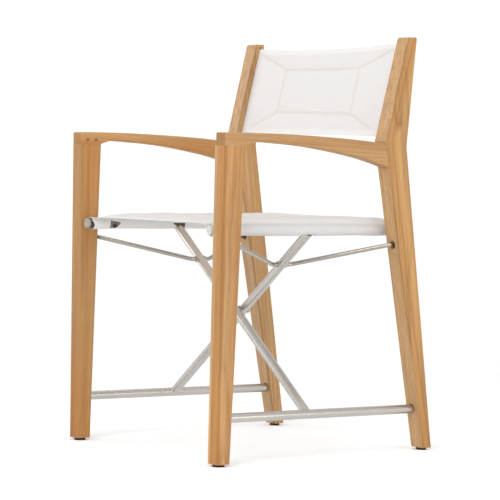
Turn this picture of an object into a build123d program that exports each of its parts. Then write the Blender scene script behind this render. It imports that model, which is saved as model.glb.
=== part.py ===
from build123d import *
import os
from math import radians, sin, cos, tan, atan

# Folding deck chair: two wooden side frames, one stainless X frame between them
# carrying the seat rails, two bent brace rods, a fabric seat and a fabric back.
# The chair faces -Y, +Z is up, X is across the seat.  Origin: on the floor, at
# the centre of the footprint.  "left" is the sitter's left, which is +X.
# The left side frame is modelled upright, leaned out, and mirrored for the right.
# The X frame and the seat are modelled level and then tilted.

# ------------------------------------------------------------------ dimensions
HEIGHT = 860.0
LEAN = 0.58           # each side frame leans out by this angle, degrees
TILT = 1.0            # rails, seat and fold axes drop to the rear, degrees
LEAN_RISE = tan(radians(LEAN))    # outward shift per unit of height

# side frame across the chair, before the lean
X_OUT = 289.5         # common outer face of legs and arm
POST_T = 40.0         # the rear leg is called the post
LEG_T = 37.0          # front leg
ARM_T = 34.0
X_LEAN = X_OUT - 22   # axis of the lean, at floor level
ARM_X0 = X_OUT - ARM_T            # inner face of the arm

# front leg side profile: y at the foot, y at the arm top
Z_FOOT = 5.0          # underside of the wood
Z_SEAM = 637.5        # top of the front leg, underside of the arm block
Z_ARM_FRONT = 663.5   # top of the arm at the front
LEG_FRONT_Y = (-268.7, -255.0)
LEG_REAR_Y = (-238.7, -204.8)

# post side profile: foot, elbow and top of its front and rear edges
POST_FRONT_FOOT_Y, POST_FRONT_TOP_Y = 245.1, 198.5
FRONT_ELBOW_Y, FRONT_ELBOW_Z = 141.2, 645.5
POST_REAR_FOOT_Y, POST_REAR_TOP_Y = -LEG_FRONT_Y[0], 219.9
REAR_ELBOW_Y, REAR_ELBOW_Z = 195.9, 634.4

WOOD_R = 2.6          # softened wood edges
FOOT_R = 1.4          # softened edges under the feet

# X frame, in its level position
TUBE_D = 19.0         # bottom rails and X tubes
WALL = 1.5
X_RAIL = 267.0        # bottom rail axis, before the lean
Z_RAIL = 90.6
X_RAIL_LEANED = X_RAIL + LEAN_RISE * Z_RAIL
SLOPE = 0.735         # rise of the X tubes
Z_PIVOT = Z_RAIL + SLOPE * X_RAIL_LEANED
Y_FRONT_TUBE, Y_REAR_TUBE = -36.6, -16.4      # planes of the two X tubes

SEAT_RAIL_D = 21.0
X_SEAT, Z_SEAT = 230.0, 464.2
SEAT_RAIL_L = 467.0   # over the plugs
SEAT_RAIL_Y0 = {1: -258.0, -1: -270.0}        # front end, left and right
PLUG_HEAD = 6.0       # plug length outside the tube

ROD_D = 9.0           # brace rods
X_ROD_TUBE = 138.8    # where a brace rod passes through its X tube
Z_ROD_TUBE = Z_PIVOT + SLOPE * X_ROD_TUBE
Z_ROD_LEG = 434.3     # height of the brace rod holes in the legs
X_ROD_LEG = X_OUT - POST_T / 2 + LEAN_RISE * Z_ROD_LEG

THROUGH = 400.0       # half length of cutters that run right through

os.makedirs("parts", exist_ok=True)
tilt = Rot(-TILT, 0, 0)
lean = Pos(X_LEAN, 0, 0) * Rot(0, LEAN, 0) * Pos(-X_LEAN, 0, 0)


# ------------------------------------------------------------------ helpers
def save(name, *shapes):
    solids = [solid for shape in shapes for solid in shape.solids()]
    part = solids[0] if len(solids) == 1 else Compound(children=solids)
    part.label = name
    export_step(part, f"parts/{name}.step")


def mirrored(shape):
    return mirror(shape, about=Plane.YZ)


def save_pair(name, *shapes):
    """save left-hand shapes and their mirror images"""
    save(f"left_{name}", *shapes)
    save(f"right_{name}", *[mirrored(shape) for shape in shapes])


def in_yz(points):
    return [(0, y, z) for y, z in points]


def prism_x(outline, x0, x1):
    """closed outline in (y, z), run from x0 to x1"""
    face = make_face(Polyline(*in_yz(outline), close=True))
    return Pos(x0, 0, 0) * extrude(face, amount=x1 - x0, dir=(1, 0, 0))


def rod_x(diameter, x, y, z, length):
    """round bar along X, centred on x"""
    return Pos(x, y, z) * Rot(0, 90, 0) * Cylinder(diameter / 2, length)


def rod_y(diameter, x, z, y0, y1):
    """round bar along Y"""
    return Pos(x, (y0 + y1) / 2, z) * Rot(90, 0, 0) * Cylinder(diameter / 2, abs(y1 - y0))


def through_y(diameter, x, z):
    return rod_y(diameter, x, z, -THROUGH, THROUGH)


def tube_y(diameter, x, z, y0, y1):
    return rod_y(diameter, x, z, y0, y1) - through_y(diameter - 2 * WALL, x, z)


def bar(diameter, start, end):
    """round bar from start to end"""
    start, end = Vector(*start), Vector(*end)
    plane = Plane(origin=(start + end) * 0.5, z_dir=(end - start))
    return plane * Cylinder(diameter / 2, (end - start).length)


def soften(shape, radius, test):
    return fillet([e for e in shape.edges() if test(e)], radius)


def round_rim(shape, y, radius):
    """round the large circular edge that lies at y"""
    return soften(shape, radius,
                  lambda e: abs(e.center().Y - y) < 0.05 and e.length > 40)


def lerp(a, b, t):
    return a + (b - a) * t


def leg_edge(ends, z):
    """y at height z on a front leg edge"""
    return lerp(*ends, (z - Z_FOOT) / (Z_ARM_FRONT - Z_FOOT))


def leg_front(z):
    return leg_edge(LEG_FRONT_Y, z)


def leg_rear(z):
    return leg_edge(LEG_REAR_Y, z)


POST_TOP_SLOPE = (POST_FRONT_TOP_Y - FRONT_ELBOW_Y) / (HEIGHT - FRONT_ELBOW_Z)


def post_front(z):
    """y of the post's front edge, up to the elbow"""
    return lerp(POST_FRONT_FOOT_Y, FRONT_ELBOW_Y, (z - Z_FOOT) / (FRONT_ELBOW_Z - Z_FOOT))


# ------------------------------------------------------------------ wood joints
TENON_T = 13.0
X_TENON = X_OUT - ARM_T / 2 - 1.5
LEG_TENON_Y0, LEG_TENON_Y1, LEG_TENON_H = -243.0, -213.5, 15.0
ARM_TENON_Z0, ARM_TENON_Z1, ARM_TENON_L = 601.0, 632.0, 22.0
JOINT_GAP = 0.1       # mortise clearance on each side
JOINT_END_GAP = 0.6   # mortise clearance at the tip

PEG_D = 7.0           # pegs across the front tenon, from the arm's inner face
PEG_HOLE_X = ARM_X0 + 12
PEG_YZ = [(-238.5, 647.2), (-217.5, 646.6)]

PAD_D, PAD_H = 24.0, 5.0
POST_PAD_D = PAD_D - 2.6
SPIGOT_R = 4.0
LEG_FOOT_XY = (X_OUT - LEG_T / 2, (leg_front(Z_FOOT) + leg_rear(Z_FOOT)) / 2)
POST_FOOT_XY = (X_OUT - POST_T / 2, (POST_FRONT_FOOT_Y + POST_REAR_FOOT_Y) / 2)


def leg_tenon(gap=0.0, end_gap=0.0):
    """tenon of the front leg, or its mortise when given gaps"""
    height = LEG_TENON_H + end_gap
    return Pos(X_TENON, (LEG_TENON_Y0 + LEG_TENON_Y1) / 2, Z_SEAM + height / 2) * Box(
        TENON_T + 2 * gap, LEG_TENON_Y1 - LEG_TENON_Y0 + 2 * gap, height)


def arm_tenon(root, gap=0.0, end_gap=0.0):
    """tenon of the arm into the post, or its mortise; root is its length forward of the post"""
    y0, y1 = post_front(ARM_TENON_Z0), post_front(ARM_TENON_Z1)
    z0, z1 = ARM_TENON_Z0 - gap, ARM_TENON_Z1 + gap
    tip = ARM_TENON_L + end_gap
    return prism_x([(y0 - root, z0), (y0 + tip, z0), (y1 + tip, z1), (y1 - root, z1)],
                   X_TENON - TENON_T / 2 - gap, X_TENON + TENON_T / 2 + gap)


def peg_holes():
    return [rod_x(PEG_D, PEG_HOLE_X, y, z, 26) for y, z in PEG_YZ]


def arm_pegs():
    return [lean * rod_x(PEG_D, PEG_HOLE_X + 0.15, y, z, 25.3) for y, z in PEG_YZ]


def spigot_hole(foot):
    return Pos(*foot, Z_FOOT + 7.2) * Cylinder(SPIGOT_R, 15.0)


def foot_pad(foot, diameter, leg):
    """pad with a spigot up into the leg, cut level at the floor"""
    pad = (Pos(*foot, PAD_H / 2 - 0.6) * Cylinder(diameter / 2, PAD_H + 1.2)
           + Pos(*foot, PAD_H + 7) * Cylinder(SPIGOT_R, 14.2))
    above_floor = Pos(X_OUT, 0, 30) * Box(300, 800, 60)
    return ((lean * pad) & above_floor) - leg


# ------------------------------------------------------------------ side frame
def front_leg():
    """front leg with a short tenon into the arm"""
    leg = prism_x([(leg_front(Z_FOOT), Z_FOOT), (leg_rear(Z_FOOT), Z_FOOT),
                   (leg_rear(Z_SEAM), Z_SEAM), (leg_front(Z_SEAM), Z_SEAM)],
                  X_OUT - LEG_T, X_OUT)
    leg = soften(leg, WOOD_R, lambda e: abs(e.tangent_at(0.5).Z) > 0.9)
    leg = soften(leg, FOOT_R, lambda e: abs(e.center().Z - Z_FOOT) < 0.1)
    leg = leg + leg_tenon()
    for hole in peg_holes():
        leg = leg - hole
    return lean * (leg - spigot_hole(LEG_FOOT_XY))


# arm outline (y, z): top from front to rear, underside from rear to front
Z_ARM_REAR_TOP = 641.0        # where the arm meets the post
Z_ARM_REAR_LOW = 591.0
ARM_TOP = [
    (leg_front(Z_ARM_FRONT), Z_ARM_FRONT), (-200.0, 662.9), (-140.0, 661.2),
    (-75.0, 658.5), (0.0, 654.1), (75.0, 648.3),
    (post_front(Z_ARM_REAR_TOP), Z_ARM_REAR_TOP)]
ARM_LOW = [
    (post_front(Z_ARM_REAR_LOW), Z_ARM_REAR_LOW), (122.0, 600.2), (76.0, 612.2),
    (25.0, 622.4), (-25.0, 630.8), (-75.0, 637.2), (-133.0, 642.0),
    (-172.0, 644.0), (-186.0, 643.4)]


def arm_long_edge(e):
    """front uprights and long edges of the arm's two side faces"""
    centre, tangent = e.center(), e.tangent_at(0.5)
    on_side = abs(centre.X - ARM_X0) < 0.1 or abs(centre.X - X_OUT) < 0.1
    at_front = centre.Y < leg_front(650) + 1 and abs(tangent.Z) > 0.98
    return on_side and (at_front or (abs(tangent.Y) > 0.8 and e.length > 120))


def armrest():
    """gentle arch, thin at the front and deep at the post"""
    top, low = in_yz(ARM_TOP), in_yz(ARM_LOW)
    seam_rear = (0, leg_rear(Z_SEAM), Z_SEAM)
    seam_front = (0, leg_front(Z_SEAM), Z_SEAM)
    outline = [Spline(*top), Line(top[-1], low[0]), Spline(*low), Line(low[-1], seam_rear),
               Line(seam_rear, seam_front), Line(seam_front, top[0])]
    arm = Pos(ARM_X0, 0, 0) * extrude(make_face(outline), amount=ARM_T, dir=(1, 0, 0))
    # top front edge first, then the long edges
    arm = soften(arm, 3.0, lambda e: abs(e.tangent_at(0.5).X) > 0.99
                 and abs(e.center().Y - ARM_TOP[0][0]) < 0.3
                 and e.center().Z > Z_ARM_FRONT - 1)
    arm = soften(arm, WOOD_R, arm_long_edge)
    arm = arm - leg_tenon(JOINT_GAP, JOINT_END_GAP)
    arm = arm + arm_tenon(root=6)
    for hole in peg_holes():
        arm = arm - hole
    return lean * arm


# rounded corners of the post profile: radius, height, y range that picks the edge
POST_CORNERS = [(30.0, REAR_ELBOW_Z, 180, 400), (5.0, HEIGHT, 0, 205), (2.5, HEIGHT, 210, 400)]


def post_long_edge(e):
    x = e.center().X
    on_side = abs(x - X_OUT) < 0.1 or abs(x - (X_OUT - POST_T)) < 0.1
    return on_side and abs(e.center().Z - Z_FOOT) > 0.5


def rear_leg():
    """post with its elbow set forward at the arm"""
    post = prism_x([(POST_FRONT_FOOT_Y, Z_FOOT), (POST_REAR_FOOT_Y, Z_FOOT),
                    (REAR_ELBOW_Y, REAR_ELBOW_Z), (POST_REAR_TOP_Y, HEIGHT),
                    (POST_FRONT_TOP_Y, HEIGHT), (FRONT_ELBOW_Y, FRONT_ELBOW_Z)],
                   X_OUT - POST_T, X_OUT)
    for radius, z, y0, y1 in POST_CORNERS:
        post = soften(post, radius, lambda e: abs(e.tangent_at(0.5).X) > 0.99
                      and abs(e.center().Z - z) < 2 and y0 < e.center().Y < y1)
    post = soften(post, WOOD_R, post_long_edge)
    post = soften(post, FOOT_R, lambda e: abs(e.center().Z - Z_FOOT) < 0.1
                  and abs(e.tangent_at(0.5).Z) < 0.1)
    post = post - arm_tenon(20, JOINT_GAP, JOINT_END_GAP)
    return lean * (post - spigot_hole(POST_FOOT_XY))


# ------------------------------------------------------------------ holes in the legs
def y_level(y, z):
    """y of a placed point (y, z) once the tilt is undone"""
    angle = radians(TILT)
    return y * cos(angle) - z * sin(angle)


# per leg, keyed by the direction into the wood along Y
FRONT, REAR = -1, 1
# leg faces along each axis, taken at the height where the tilted axis meets them
RAIL_FACE = {FRONT: y_level(leg_rear(94.9), 94.9), REAR: y_level(post_front(86.4), 86.4)}
ROD_FACE = {FRONT: y_level(leg_rear(437.5), 437.5), REAR: y_level(post_front(430.5), 430.5)}

RAIL_DEPTH = {FRONT: 19.0, REAR: 17.0}        # rail length inside the leg
RAIL_HOLE_D = 21.6
RAIL_HOLE_EXTRA = 1.0                         # hole depth beyond the rail end
RAIL_BUSH_INSET = {FRONT: 0.8, REAR: 2.2}
ROD_HOLE_D = 17.0
ROD_HOLE_DEPTH = 14.0
ROD_BUSH_INSET = 7.5                          # the bush fills the bottom of the hole
HOLE_OPENING = 20.0                           # cutter length outside the leg face


def rail_plug(end, inset):
    """bar in the rail hole, from inset below the leg face to the bottom"""
    face = RAIL_FACE[end]
    depth = RAIL_DEPTH[end] + RAIL_HOLE_EXTRA
    return tilt * rod_y(RAIL_HOLE_D, X_RAIL_LEANED, Z_RAIL, face + end * depth,
                        face + end * inset)


def rod_plug(end, inset):
    """the same for the brace rod hole"""
    face = ROD_FACE[end]
    return tilt * rod_y(ROD_HOLE_D, X_ROD_LEG, Z_ROD_LEG, face + end * ROD_HOLE_DEPTH,
                        face + end * inset)


def bored(leg, end):
    return leg - rail_plug(end, -HOLE_OPENING) - rod_plug(end, -HOLE_OPENING)


def rail_bushes():
    bore = tilt * through_y(TUBE_D + 0.1, X_RAIL_LEANED, Z_RAIL)
    return [rail_plug(end, RAIL_BUSH_INSET[end]) - bore for end in (FRONT, REAR)]


def rod_bushes():
    bore = tilt * through_y(ROD_D + 0.6, X_ROD_LEG, Z_ROD_LEG)
    return [rod_plug(end, ROD_BUSH_INSET) - bore for end in (FRONT, REAR)]


# ------------------------------------------------------------------ back sling
CHANNEL_BACK = 11.8   # channel axis behind the post's front face
CHANNEL_DEEP = 8.5    # channel axis outward of the post's inner face
CHANNEL_Z0, CHANNEL_Z1 = 646.5, 855.0
CHANNEL_D = 7.8
SLOT_W = 3.0
SLOT_OVER = 6.0       # slot cutter past the inner face
SLING_ROD_D = 5.0
LOOP_D = 7.0
BACK_Z0, BACK_Z1 = 654.7, 849.5
BACK_T = 1.5
TOP_DIP, BOTTOM_RISE = 8.0, 4.0       # bow of the hems at mid width


def sling_point(x, z):
    y = FRONT_ELBOW_Y + CHANNEL_BACK + POST_TOP_SLOPE * (z - FRONT_ELBOW_Z)
    return (x, y, z)


def channel_x(z):
    return X_OUT - POST_T + LEAN_RISE * z + CHANNEL_DEEP


def channel_bar(diameter, z0, z1):
    """round bar on the left channel axis"""
    return bar(diameter, sling_point(channel_x(z0), z0), sling_point(channel_x(z1), z1))


def cut_channel(post):
    """round channel open to the inner face through a narrow slot"""
    low = Vector(*sling_point(channel_x(CHANNEL_Z0), CHANNEL_Z0))
    high = Vector(*sling_point(channel_x(CHANNEL_Z1), CHANNEL_Z1))
    axis = (high - low).normalized()
    plane = Plane(origin=(low + high) * 0.5, x_dir=(1, 0, 0),
                  z_dir=Vector(1, 0, 0).cross(axis))
    slot_x = CHANNEL_DEEP + SLOT_OVER
    slot = plane * Pos(-slot_x / 2, 0, 0) * Box(slot_x, (high - low).length, SLOT_W)
    return post - channel_bar(CHANNEL_D, CHANNEL_Z0, CHANNEL_Z1) - slot


def back_sling():
    """sheet with concave top and bottom hems and a loop along each side"""
    x0, x1 = channel_x(BACK_Z0), channel_x(BACK_Z1)
    top_left, top_right = sling_point(x1, BACK_Z1), sling_point(-x1, BACK_Z1)
    low_left, low_right = sling_point(x0, BACK_Z0), sling_point(-x0, BACK_Z0)
    outline = [ThreePointArc(top_left, sling_point(0, BACK_Z1 - TOP_DIP), top_right),
               Line(top_right, low_right),
               ThreePointArc(low_right, sling_point(0, BACK_Z0 + BOTTOM_RISE), low_left),
               Line(low_left, top_left)]
    angle = atan(POST_TOP_SLOPE)
    sheet = extrude(make_face(outline), amount=BACK_T / 2,
                    dir=Vector(0, cos(angle), -sin(angle)), both=True)
    loop = channel_bar(LOOP_D, BACK_Z0, BACK_Z1)
    bore = channel_bar(SLING_ROD_D + 0.1, BACK_Z0 - 20, BACK_Z1 + 20)
    return sheet + loop + mirrored(loop) - bore - mirrored(bore)


# ------------------------------------------------------------------ X frame
PIVOT_D = 8.0
PIVOT_CLEAR_D = PIVOT_D + 0.1
PIVOT_END = 3.0       # bolt length behind the rear tube
HEAD_D, HEAD_H = 14.0, 3.8
NUT_H = 4.4
HEAD_R = 1.4          # rounding of bolt head and nut
SPACER_D = 17.0
SOCKET_R, SOCKET_DEPTH = 2.6, 2.2
TUBE_BUSH_D = 11.5
FLANGE_D, FLANGE_T = 14.0, 1.4
ROD_GAP = 2.2         # open pivot: rod tip to leg
ROD_BEND_R = 16.0
ROD_STRAIGHT = 23.0   # rod corners to each side of the X tube's plane
Y_BOLT_HEAD = Y_FRONT_TUBE - TUBE_D / 2       # underside of the head
Y_NUT = Y_REAR_TUBE + TUBE_D / 2              # front face of the nut


def bottom_rail(side):
    return tube_y(TUBE_D, side * X_RAIL_LEANED, Z_RAIL,
                  RAIL_FACE[FRONT] - RAIL_DEPTH[FRONT], RAIL_FACE[REAR] + RAIL_DEPTH[REAR])


def x_tube(side, y):
    """tube from the bottom rail on `side` up to the seat rail on the other"""
    x_top = X_SEAT + 3.0      # runs into the seat rail, then is cut to its outline
    z_top = Z_PIVOT + SLOPE * x_top
    start = (side * X_RAIL_LEANED, y, Z_RAIL)
    tube = (bar(TUBE_D, start, (-side * x_top, y, z_top))
            - bar(TUBE_D - 2 * WALL, start, (-side * (x_top + 30), y, z_top + 30 * SLOPE)))
    tube = tube - through_y(TUBE_D, side * X_RAIL_LEANED, Z_RAIL)
    tube = tube - through_y(SEAT_RAIL_D, -side * X_SEAT, Z_SEAT)
    tube = max(tube.solids(), key=lambda solid: solid.volume)
    return (tube - through_y(PIVOT_CLEAR_D, 0, Z_PIVOT)
            - through_y(TUBE_BUSH_D, -side * X_ROD_TUBE, Z_ROD_TUBE))


def pivot_bolt():
    y_top = Y_BOLT_HEAD - HEAD_H
    bolt = (rod_y(PIVOT_D, 0, Z_PIVOT, Y_BOLT_HEAD - 1, Y_NUT + PIVOT_END)
            + rod_y(HEAD_D, 0, Z_PIVOT, y_top, Y_BOLT_HEAD))
    socket = extrude(RegularPolygon(SOCKET_R, 6), amount=SOCKET_DEPTH, both=True)
    bolt = bolt - (Pos(0, y_top, Z_PIVOT) * Rot(90, 30, 0) * socket)
    return round_rim(bolt, y_top, HEAD_R)


def pivot_spacer():
    return (rod_y(SPACER_D, 0, Z_PIVOT, Y_FRONT_TUBE + TUBE_D / 2, Y_REAR_TUBE - TUBE_D / 2)
            - through_y(PIVOT_CLEAR_D, 0, Z_PIVOT))


def pivot_nut():
    nut = rod_y(HEAD_D, 0, Z_PIVOT, Y_NUT, Y_NUT + NUT_H)
    nut = round_rim(nut, Y_NUT + NUT_H, HEAD_R)
    return nut - rod_y(PIVOT_D, 0, Z_PIVOT, Y_NUT - 5, Y_NUT + PIVOT_END)


def tube_bushes(x, y):
    """two flanged halves, one from each side of the tube"""
    halves = []
    for way in (-1, 1):
        face = TUBE_D / 2
        half = (rod_y(TUBE_BUSH_D, x, Z_ROD_TUBE, y, y + way * (face + 0.6))
                + rod_y(FLANGE_D, x, Z_ROD_TUBE, y + way * face, y + way * (face + FLANGE_T)))
        halves.append(tilt * (half - through_y(ROD_D + 0.1, x, Z_ROD_TUBE)))
    return halves


def brace_rod(side, y):
    """bent round-ended rod: front leg, through the X tube at y, rear leg"""
    x_tube_hole, x_leg = side * X_ROD_TUBE, side * X_ROD_LEG
    inset = ROD_D / 2 + ROD_GAP
    corners = [(x_leg, ROD_FACE[FRONT] + inset, Z_ROD_LEG),
               (x_tube_hole, y - ROD_STRAIGHT, Z_ROD_TUBE),
               (x_tube_hole, y + ROD_STRAIGHT, Z_ROD_TUBE),
               (x_leg, ROD_FACE[REAR] - inset, Z_ROD_LEG)]
    path = FilletPolyline(*corners, radius=ROD_BEND_R)
    section = Plane(origin=path @ 0, z_dir=path % 0) * Circle(ROD_D / 2)
    rod = sweep(section, path=path)
    for tip in (corners[0], corners[-1]):
        rod = rod + Pos(*tip) * Sphere(ROD_D / 2)
    return rod


# screws that fix the seat sleeves to the rails, inside the sleeve notches
SCREW_Y = -204.0
SCREW_ANGLE = 28.0    # points inward and this far below level, degrees
SCREW_D = 4.0
SCREW_HEAD_D, SCREW_HEAD_H = 9.0, 2.2


def screw_axis(side):
    """point on the rail axis and the direction out to the screw head"""
    angle = radians(SCREW_ANGLE)
    return Vector(side * X_SEAT, SCREW_Y, Z_SEAT), Vector(-side * cos(angle), 0, -sin(angle))


def sleeve_screw(side):
    centre, out = screw_axis(side)
    seat = centre + out * (SEAT_RAIL_D / 2)
    return (bar(SCREW_HEAD_D, seat, seat + out * SCREW_HEAD_H)
            + bar(SCREW_D, seat - out * 4, seat))


def seat_rail(side):
    y0 = SEAT_RAIL_Y0[side]
    centre, out = screw_axis(side)
    tube = tube_y(SEAT_RAIL_D, side * X_SEAT, Z_SEAT,
                  y0 + PLUG_HEAD, y0 + SEAT_RAIL_L - PLUG_HEAD)
    return tube - bar(SCREW_D, centre, centre + out * 14)


def seat_rail_plugs(side):
    """end plugs of a seat rail"""
    x, y0 = side * X_SEAT, SEAT_RAIL_Y0[side]
    plugs = []
    for y, way in ((y0, 1), (y0 + SEAT_RAIL_L, -1)):
        plug = rod_y(SEAT_RAIL_D + 0.2, x, Z_SEAT, y, y + way * PLUG_HEAD)
        plug = round_rim(plug, y, 2.5)
        plug = plug + rod_y(SEAT_RAIL_D - 2 * WALL, x, Z_SEAT,
                            y + way * (PLUG_HEAD - 1), y + way * 22)
        plugs.append(tilt * plug)
    return plugs


# ------------------------------------------------------------------ seat sling
SEAT_T = 1.4
SEAT_Y0, SEAT_Y1 = -254.5, 196.0      # front and rear hem
SLEEVE_R_IN = SEAT_RAIL_D / 2 + 0.15
SLEEVE_R_OUT = SLEEVE_R_IN + SEAT_T
CROWN = 11.0          # the seat stands this much above its sleeves
# y of a cross section, share of the full crown there
CROWN_STATIONS = [
    (SEAT_Y0, 0.18), (SEAT_Y0 + 17, 0.50), (SEAT_Y0 + 34, 0.78),
    (SEAT_Y0 + 62, 0.97), (SEAT_Y0 + 110, 1.0), (SEAT_Y1, 1.0)]
# sleeve notch around each screw: y, z from the rail axis
NOTCH = [(-215.0, 6.4), (-190.0, 1.2), (-200.7, -9.4), (-215.0, -9.4)]


def seat_section(y, crown):
    """the sheet across the chair at y, standing crown above the sleeves at most"""
    z_sleeve = Z_SEAT + SLEEVE_R_OUT
    # x, height above the sleeve tops, from the left edge inward
    half = [(X_SEAT + 4, -0.35), (X_SEAT - 9, 0.09 * crown), (X_SEAT - 28, 0.62 * crown),
            (X_SEAT - 52, 0.95 * crown), (X_SEAT - 90, crown), (60.0, 0.95 * crown)]
    points = half + [(0.0, 0.93 * crown)] + [(-x, z) for x, z in reversed(half)]
    top = Spline(*[(x, y, z_sleeve + z) for x, z in points])
    low = Spline(*[(x, y, z_sleeve + z - SEAT_T) for x, z in points])
    return make_face([top, Line(top @ 0, low @ 0), low, Line(top @ 1, low @ 1)])


def seat_sling():
    seat = loft([seat_section(y, CROWN * share) for y, share in CROWN_STATIONS], ruled=True)
    for side in (-1, 1):
        seat = seat + rod_y(2 * SLEEVE_R_OUT, side * X_SEAT, Z_SEAT, SEAT_Y0, SEAT_Y1)
    for side in (1, -1):
        seat = seat - through_y(2 * SLEEVE_R_IN, side * X_SEAT, Z_SEAT)
    # slots where the X tubes pass through the sleeves
    for side, y in ((-1, Y_FRONT_TUBE), (1, Y_REAR_TUBE)):
        seat = seat - Pos(side * (X_SEAT - 6), y, Z_SEAT - 10) * Box(26, 32, 20)
    for side in (-1, 1):
        seat = seat - prism_x([(y, Z_SEAT + z) for y, z in NOTCH],
                              *sorted((side * X_SEAT, side * (X_SEAT - 20))))
    return max(seat.solids(), key=lambda solid: solid.volume)


# ------------------------------------------------------------------ write parts
leg, post = front_leg(), rear_leg()
save_pair("front_leg", bored(leg, FRONT))
save_pair("rear_leg", cut_channel(bored(post, REAR)))
save_pair("armrest", armrest())
save_pair("arm_pegs", *arm_pegs())
save_pair("foot_pads", foot_pad(LEG_FOOT_XY, PAD_D, leg),
          foot_pad(POST_FOOT_XY, POST_PAD_D, post))
save_pair("rail_bushes", *rail_bushes())
save_pair("rod_bushes", *rod_bushes())
save_pair("sling_rod", channel_bar(SLING_ROD_D, BACK_Z0 + 1, BACK_Z1 - 1))
save("back_sling", back_sling())

# each brace rod passes through the X tube that rises to its own side
for hand, side, y_tube in (("left", 1, Y_REAR_TUBE), ("right", -1, Y_FRONT_TUBE)):
    save(f"{hand}_bottom_rail", tilt * bottom_rail(side))
    save(f"{hand}_seat_rail", tilt * seat_rail(side))
    save(f"{hand}_seat_rail_plugs", *seat_rail_plugs(side))
    save(f"{hand}_sleeve_screw", tilt * sleeve_screw(side))
    save(f"{hand}_brace_rod", tilt * brace_rod(side, y_tube))
    save(f"{hand}_tube_bushes", *tube_bushes(side * X_ROD_TUBE, y_tube))
save("front_x_tube", tilt * x_tube(1, Y_FRONT_TUBE))
save("rear_x_tube", tilt * x_tube(-1, Y_REAR_TUBE))
save("pivot_bolt", tilt * pivot_bolt())
save("pivot_spacer", tilt * pivot_spacer())
save("pivot_nut", tilt * pivot_nut())
save("seat_sling", tilt * seat_sling())
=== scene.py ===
# A folding chair: wooden legs and armrests, crossed steel tubes, a cloth seat and a cloth back.
# Metres, z up.  x runs across the chair, its left side at +x; the front faces -y.
# The CAD pieces get materials; both cloths and their stitching are modelled here.
import math

import bpy
import numpy as np
from mathutils import Matrix, Vector


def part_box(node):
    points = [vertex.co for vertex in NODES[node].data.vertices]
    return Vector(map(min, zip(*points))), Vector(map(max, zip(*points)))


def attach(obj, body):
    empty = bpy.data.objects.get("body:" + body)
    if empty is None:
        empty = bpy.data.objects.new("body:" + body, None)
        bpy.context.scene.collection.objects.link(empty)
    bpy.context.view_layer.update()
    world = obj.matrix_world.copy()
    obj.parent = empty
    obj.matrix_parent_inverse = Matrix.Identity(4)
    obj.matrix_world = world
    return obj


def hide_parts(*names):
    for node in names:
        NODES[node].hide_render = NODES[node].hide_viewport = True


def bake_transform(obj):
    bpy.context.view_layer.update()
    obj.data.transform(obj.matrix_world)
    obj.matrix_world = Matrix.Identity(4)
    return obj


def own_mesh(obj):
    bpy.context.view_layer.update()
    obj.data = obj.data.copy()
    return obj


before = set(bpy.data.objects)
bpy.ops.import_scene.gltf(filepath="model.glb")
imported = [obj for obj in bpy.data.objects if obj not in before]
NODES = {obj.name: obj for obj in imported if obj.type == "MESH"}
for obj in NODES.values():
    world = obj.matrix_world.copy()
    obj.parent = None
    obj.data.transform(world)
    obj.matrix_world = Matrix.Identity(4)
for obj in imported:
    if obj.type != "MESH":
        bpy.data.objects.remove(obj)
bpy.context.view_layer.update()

SIDES = {"left": 1, "right": -1}    # sign of x
SEAT_TILT = math.radians(1.0)       # rails and seat sink towards the rear
CLOTH_THICKNESS = 0.0012


def tilt(point):
    """From the level frame in which rails and seat are laid out to their tilted place."""
    x, y, z = point
    cos, sin = math.cos(SEAT_TILT), math.sin(SEAT_TILT)
    return (x, y * cos + z * sin, -y * sin + z * cos)


# =====================================================================
# Shader graphs
# =====================================================================
def colour(code, gain=1.0):
    """sRGB hex to linear RGBA, times one gain or one for each channel."""
    gains = gain if isinstance(gain, tuple) else (gain,) * 3
    channels = []
    for start, factor in zip((0, 2, 4), gains):
        c = int(code[start:start + 2], 16) / 255
        channels.append((c / 12.92 if c <= 0.04045 else ((c + 0.055) / 1.055) ** 2.4) * factor)
    return (*channels, 1.0)


class Signal:
    """An output socket; arithmetic on it adds Math nodes."""

    def __init__(self, graph, socket):
        self.graph = graph
        self.socket = socket

    def sibling(self, output):
        """Another output of the same node."""
        return Signal(self.graph, self.socket.node.outputs[output])

    def __add__(self, other):
        return self.graph.math("ADD", self, other)

    def __radd__(self, other):
        return self.graph.math("ADD", other, self)

    def __sub__(self, other):
        return self.graph.math("SUBTRACT", self, other)

    def __rsub__(self, other):
        return self.graph.math("SUBTRACT", other, self)

    def __mul__(self, other):
        return self.graph.math("MULTIPLY", self, other)

    def __truediv__(self, other):
        return self.graph.math("DIVIDE", self, other)

    def __mod__(self, other):
        return self.graph.math("MODULO", self, other)

    def __abs__(self):
        return self.graph.math("ABSOLUTE", self)


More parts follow.
